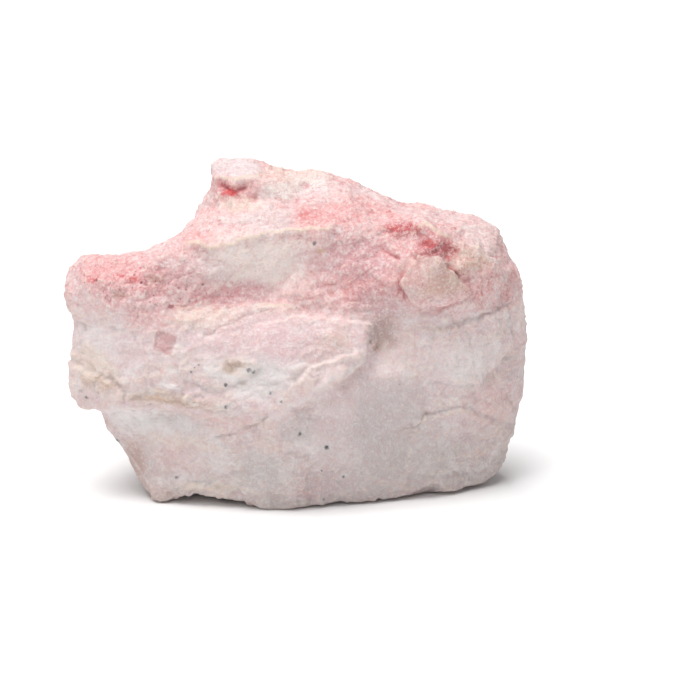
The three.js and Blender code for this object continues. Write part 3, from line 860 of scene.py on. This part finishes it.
class StoneLook:
    """The stone's colour and fine relief. Each step lays colours over the ground that is there so far."""

    def __init__(self, graph, colours):
        self.graph = graph
        self.colours = colours
        coordinates = graph.add("ShaderNodeTexCoord", {}, {}, "Object")
        self.place = graph.vector("MULTIPLY", coordinates, (1 / MM, 1 / MM, 1 / MM))
        self.loose = graph.warped(self.place, 3.2, 1.0)
        self.torn = graph.warped(self.loose, 0.9, 0.45)
        self.height = graph.axis(self.torn, "Z")
        self.hollow_fine = graph.attribute("hollow_fine")
        self.hollow_broad = graph.attribute("hollow_broad")
        self.raised = graph.attribute("raised")
        self.crack = graph.attribute("open")

    def lay(self, share, colour):
        """Lays a colour over the ground, by a share from 0 to 1."""
        self.ground = self.graph.mix(share, self.ground, getattr(self.colours, colour))

    def layers(self):
        """The ground colour, grey towards the resting plane and pink at the top, and its mottling."""
        graph = self.graph
        swell = graph.noise(self.loose, 6.5, detail=2)
        self.top = graph.ramp(self.height + 5 * (swell - 0.5), PINK_FROM, PINK_FULL)
        self.lower = 1 - self.top
        cloud = graph.noise(self.loose, 3.4, detail=5, roughness=0.6)
        self.ground = graph.mix(graph.ramp(cloud, 0.42, 0.58), self.colours.pale, self.colours.lilac)
        self.lay(graph.ramp(self.height, 10.5, 1.5) * 0.65, "ash")
        smoke = graph.ramp(graph.noise(self.torn, 2.4, detail=6, roughness=0.62), 0.52, 0.66)
        self.lay(smoke * self.lower * 0.45, "ash")
        mottle = graph.ramp(graph.noise(self.torn, 1.5, detail=6, roughness=0.66), 0.50, 0.62)
        self.lay(mottle * 0.60, "white")
        blush = graph.ramp(graph.noise(self.torn, 2.6, detail=6, roughness=0.62), 0.38, 0.60)
        self.lay(self.top * (0.30 + 0.65 * blush), "rose")

    def vein(self, place, size, width, detail, **settings):
        """Thin winding lines where noise crosses its middle value."""
        return self.graph.ramp(abs(self.graph.noise(place, size, detail, **settings) - 0.5), *width)

    def seams(self):
        """Level seams of clay round the stone, and wisps, veins and fissures below the pink top."""
        graph = self.graph
        flat = graph.vector("MULTIPLY", self.torn, (0.25, 0.25, 1.2))
        seam = graph.ramp(graph.noise(flat, 1.3, detail=5, roughness=0.6), 0.54, 0.66)
        self.lay(seam * self.lower * 0.55, "buff")
        wisp = self.vein(graph.vector("MULTIPLY", self.torn, (0.6, 0.6, 1)), 2.0, (0.035, 0.0), detail=3)
        self.lay(wisp * self.lower * 0.22, "cream")
        vein = self.vein(graph.vector("ADD", self.torn, (9, 4, 2)), 2.8, (0.022, 0.0), detail=4)
        self.lay(vein * self.lower * 0.25, "mauve")
        fissure = self.vein(self.torn, 1.3, (0.020, 0.002), detail=6, roughness=0.66)
        parted = graph.ramp(graph.noise(self.loose, 2.2, detail=2), 0.46, 0.56)
        self.lay(fissure * parted * self.lower * 0.26, "mauve")

    def grain(self):
        """Pale crumbs everywhere, and deeper pink and dark crystals in the upper layers."""
        graph = self.graph
        self.crumb = graph.ramp(graph.noise(self.place, 0.40, detail=4, roughness=0.78), 0.60, 0.68)
        self.lay(self.crumb * 0.40, "white")
        self.fine = graph.noise(self.place, 0.24, detail=3, roughness=0.72)
        crystal = graph.cell_number(self.place, 0.36)
        self.sparkle = self.fine + 0.20 * (crystal - 0.5)
        self.gathered = graph.ramp(graph.noise(self.loose, 1.8, detail=5, roughness=0.62), 0.44, 0.60)
        deeper = graph.ramp(self.sparkle, 0.54, 0.38) * self.gathered
        self.lay(deeper * (0.10 + 0.50 * self.top), "deep_rose")
        self.clustered = graph.ramp(graph.noise(self.loose, 2.6, detail=3), 0.50, 0.62)
        self.lay(graph.ramp(self.sparkle, 0.44, 0.30) * self.clustered * self.top * 0.50, "garnet")

    def patches(self):
        """The patches, torn at their borders and clouded inside, and blotches over them."""
        graph = self.graph
        self.broken = 0.85 + 1.1 * (graph.noise(self.torn, 0.9, detail=5, roughness=0.7) - 0.5)
        for colour, strength, centre, reach in PATCHES:
            self.lay(graph.patch(self.torn, centre, reach) * strength * self.broken, colour)
        shifted = graph.vector("ADD", self.torn, (3, 7, 5))
        self.blotch = graph.noise(shifted, 0.75, detail=5, roughness=0.7)
        self.lay(graph.ramp(self.blotch, 0.50, 0.62) * (0.20 + 0.08 * self.top), "white")
        self.lay(graph.ramp(self.blotch, 0.48, 0.38) * (0.20 + 0.06 * self.top), "mauve")

    def dust(self):
        """Fine dark and pale grains all over, dark red ones where the stone is pink."""
        graph = self.graph
        pink = self.top * (1 - 0.75 * graph.patch(self.torn, *BUFF_FACE))
        self.lay(graph.ramp(self.sparkle, 0.50, 0.34) * (0.05 + 0.17 * pink), "garnet")
        self.lay(graph.ramp(self.sparkle, 0.52, 0.66) * 0.42, "white")
        dust = graph.noise(self.place, 0.15, detail=2, roughness=0.8)
        self.lay(graph.ramp(dust, 0.47, 0.30) * 0.34 * self.lower, "ash")
        self.lay(graph.ramp(dust, 0.47, 0.30) * 0.34 * pink, "garnet")
        self.lay(graph.ramp(dust, 0.53, 0.70) * 0.30, "white")

    def wear_and_shade(self):
        """Painted shade in crevices and broad hollows; worn edges paler; raised edges paler, partly their
        own colour and partly painted highlight; cracks darker, partly their own colour and partly painted
        shade; and a thin grey over all, with painted shade growing towards the resting plane.
        """
        graph = self.graph
        # Painted shade: crevices and broad hollows are laid darker, in garnet and deep rose in the pink
        # top, in ash and tan below.
        crevice_shade = graph.ramp(self.hollow_fine, 0.56, 0.92)
        self.lay(crevice_shade * self.gathered * self.top * 0.40, "garnet")
        self.lay(crevice_shade * self.lower * 0.30, "ash")
        self.lay(graph.ramp(self.hollow_broad, 0.60, 1.0) * self.lower * 0.30, "tan")
        self.lay(graph.ramp(self.hollow_broad, 0.58, 0.95) * self.top * 0.35, "deep_rose")
        edge = graph.ramp(self.hollow_fine, 0.44, 0.12)
        self.lay(edge * (0.08 + 0.34 * graph.ramp(self.fine, 0.42, 0.60)), "cream")
        # Raised edges paler, white below and cream and tan in the pink top: partly their own colour, partly
        # painted highlight.
        self.lay(graph.ramp(self.raised, 0.35, 0.95) * self.broken * self.lower * 0.45, "white")
        rim = graph.ramp(self.raised, 0.40, 0.90) * self.top
        self.lay(rim * 0.60, "cream")
        self.lay(rim * graph.ramp(self.broken, 0.75, 0.95) * 0.28, "tan")
        # Cracks darker, brown below and dark red above: partly their own colour, partly painted shade.
        self.lay(graph.ramp(self.crack, 0.50, 0.95) * self.lower * 0.3, "brown")
        self.lay(graph.ramp(self.crack, 0.40, 0.95) * self.top * 0.6, "garnet")
        self.lay(graph.ramp(self.crack, 0.62, 1.0) * self.top * 0.42, "wine")
        # Painted shade: a thin grey over the whole stone, thicker towards the resting plane.
        self.lay(0.07 + 0.13 * graph.ramp(self.height, 19.0, 3.0), "painted_shade")

    def marks(self):
        """Marks with a ragged border, the square one, and the dots of the crumbly band."""
        graph = self.graph
        self.pinched = graph.warped(self.place, 0.45, 0.16)
        self.nicked = graph.warped(self.pinched, 0.20, 0.16)
        ragged = graph.warped(self.place, 0.7, 0.45)
        grains = graph.ramp(self.sparkle, 0.60, 0.46)
        for colour, strength, centre, reach in MARKS:
            even = 0.35 if colour in {"red", "garnet", "wine"} else 0.75
            self.lay(graph.patch(ragged, centre, reach) * strength * (even + (1 - even) * grains), colour)
        square = graph.tile(graph.warped(self.place, 0.55, 0.28), *SQUARE_MARK)
        self.lay(square * (0.32 + 0.45 * graph.ramp(self.sparkle, 0.60, 0.40)), "mauve")
        self.lay(square * graph.ramp(self.blotch, 0.58, 0.44) * 0.20, "garnet")
        self.lay(square * 0.14, "brown")
        band = graph.patch(self.loose, *CRUMBLY_BAND)
        for apart in (0.80, 0.46, 0.30):
            picked = graph.cell_number(self.pinched, apart)
            dots = graph.ramp(graph.cells(self.pinched, apart), 0.24, 0.08) * graph.ramp(picked, 0.55, 0.60)
            self.lay(dots * self.top * (0.32 * self.clustered + 0.66 * band), "wine")

    def specks(self):
        """Single dark specks, and a thin scatter of small ones in the lower layers."""
        graph = self.graph
        for strength, radius, centre in SPECKS:
            halo = graph.patch(self.pinched, centre, (3 * radius, 3 * radius, 3 * radius), 0.6)
            self.lay(halo * self.lower * 0.35, "ash")
            spot = graph.patch(self.nicked, centre, (radius, 3 * radius, radius), 0.6)
            self.lay(spot * strength, "speck")
        chosen = graph.cell_number(self.pinched, 2.4)
        scatter = graph.ramp(graph.cells(self.pinched, 2.4), 0.065, 0.035) * graph.ramp(chosen, 0.72, 0.74)
        self.lay(scatter * self.lower * 0.7, "speck")

    def relief(self):
        """The bump of grains, crystal faces and crumbs."""
        graph = self.graph
        height = 0.7 * self.sparkle + 0.5 * graph.noise(self.torn, 0.8, detail=4, roughness=0.65)
        faces = graph.facets(self.place, 0.42) + graph.facets(self.place, 0.26)
        height = height + (0.25 + 0.65 * self.top) * faces
        height = height + 0.06 * self.crumb
        sockets = {"Strength": 1.0, "Distance": 0.16 * MM, "Height": height}
        return graph.add("ShaderNodeBump", {}, sockets, "Normal")


def stone_material(colours):
    """Layered pink stone: chalky below, sugary and pinker above, with seams, patches and specks."""
    material = bpy.data.materials.new("rhodochrosite")
    graph = Graph(material)
    look = StoneLook(graph, colours)
    look.layers()
    look.seams()
    look.grain()
    look.patches()
    look.dust()
    look.wear_and_shade()
    look.marks()
    look.specks()
    sockets = {
        "Base Color": look.ground,
        "Roughness": 0.60 + 0.35 * graph.noise(look.place, 0.5, detail=3),
        "Normal": look.relief(),
        "Specular IOR Level": 0.35,
        "Subsurface Weight": 0.08,
        "Subsurface Radius": (1.0, 0.55, 0.50),
        "Subsurface Scale": 0.4 * MM,
    }
    surface = graph.add("ShaderNodeBsdfPrincipled", {}, sockets)
    graph.add_output(surface)
    return material


# ---------------------------------------------------------------- the operators


class SPECIMEN_OT_stone(bpy.types.Operator):
    """Makes the stone: its broken skin and its material"""

    bl_idname = "specimen.stone"
    bl_label = "Stone"

    def execute(self, context):
        scene = context.scene
        mesh = even_mesh(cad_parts[NODE], scene.specimen_skin.grain)
        break_up(mesh, scene.specimen_skin)
        mesh.materials.clear()
        mesh.materials.append(stone_material(scene.specimen_colours))
        stone = bpy.data.objects.new("stone", mesh)
        scene.collection.objects.link(stone)
        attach(stone, "root")
        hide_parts(NODE)
        return {"FINISHED"}


class SPECIMEN_OT_stage(bpy.types.Operator):
    """Makes the floor, the soft light and the camera"""

    bl_idname = "specimen.stage"
    bl_label = "Stage"

    def execute(self, context):
        scene = context.scene
        settings = scene.specimen_stage
        scene.view_settings.view_transform = "Standard"
        self.floor(scene, settings)
        self.lights(scene, settings)
        self.camera(scene, settings)
        return {"FINISHED"}

    def floor(self, scene, settings):
        half = FLOOR_HALF
        mesh = bpy.data.meshes.new("floor")
        corners = [(-half, -half, 0), (half, -half, 0), (half, half, 0), (-half, half, 0)]
        mesh.from_pydata(corners, [], [(0, 1, 2, 3)])
        material = bpy.data.materials.new("pale floor")
        graph = Graph(material)
        colour = (*settings.floor, 1)
        surface = graph.add("ShaderNodeBsdfPrincipled", {}, {"Base Color": colour, "Roughness": 0.9})
        graph.add_output(surface)
        mesh.materials.append(material)
        floor = bpy.data.objects.new("floor", mesh)
        scene.collection.objects.link(floor)

    def lights(self, scene, settings):
        self.soft_box(scene, "soft light", settings.soft_light, SOFT_LIGHT_PLACE, SOFT_LIGHT_WIDTH)
        self.soft_box(scene, "front light", settings.front_light, FRONT_LIGHT_PLACE, FRONT_LIGHT_WIDTH)
        world = bpy.data.worlds.new("studio")
        scene.world = world
        world.use_nodes = True
        background = world.node_tree.nodes["Background"]
        background.inputs["Color"].default_value = (1, 1, 1, 1)
        background.inputs["Strength"].default_value = settings.fill

    def soft_box(self, scene, name, power, place, width):
        """A square light that faces the stone."""
        data = bpy.data.lights.new(name, "AREA")
        data.size = width
        data.energy = power
        light = bpy.data.objects.new(name, data)
        light.location = place
        aim = Vector(STONE_MIDDLE) - light.location
        light.rotation_euler = aim.to_track_quat("-Z", "Y").to_euler()
        scene.collection.objects.link(light)

    def camera(self, scene, settings):
        data = bpy.data.cameras.new("camera")
        data.sensor_width = SENSOR_WIDTH
        data.lens = FOCAL_LENGTH
        data.clip_start = NEAREST_SEEN
        camera = bpy.data.objects.new("camera", data)
        camera.location = CAMERA_PLACE
        camera.rotation_euler = (math.pi / 2 - settings.looks_down, 0, 0)
        scene.collection.objects.link(camera)
        scene.camera = camera


class SPECIMEN_PT_panel(bpy.types.Panel):
    """Lists what the specimen is made of"""

    bl_idname = "SPECIMEN_PT_panel"
    bl_label = "Rhodochrosite Specimen"
    bl_space_type = "VIEW_3D"
    bl_region_type = "UI"
    bl_category = "Specimen"

    def draw(self, context):
        scene = context.scene
        for operator, group in (
            (SPECIMEN_OT_stone, scene.specimen_skin),
            (SPECIMEN_OT_stone, scene.specimen_colours),
            (SPECIMEN_OT_stage, scene.specimen_stage),
        ):
            box = self.layout.box()
            box.operator(operator.bl_idname)
            for name in group.bl_rna.properties.keys():
                if name not in {"rna_type", "name"}:
                    box.prop(group, name)


CLASSES = (
    SpecimenSkin,
    SpecimenColours,
    SpecimenStage,
    SPECIMEN_OT_stone,
    SPECIMEN_OT_stage,
    SPECIMEN_PT_panel,
)


def register():
    for cls in CLASSES:
        bpy.utils.register_class(cls)
    bpy.types.Scene.specimen_skin = PointerProperty(type=SpecimenSkin)
    bpy.types.Scene.specimen_colours = PointerProperty(type=SpecimenColours)
    bpy.types.Scene.specimen_stage = PointerProperty(type=SpecimenStage)


def unregister():
    del bpy.types.Scene.specimen_stage
    del bpy.types.Scene.specimen_colours
    del bpy.types.Scene.specimen_skin
    for cls in reversed(CLASSES):
        bpy.utils.unregister_class(cls)


def main():
    register()
    bpy.ops.specimen.stage()
    bpy.ops.specimen.stone()


if __name__ == "__main__":
    main()
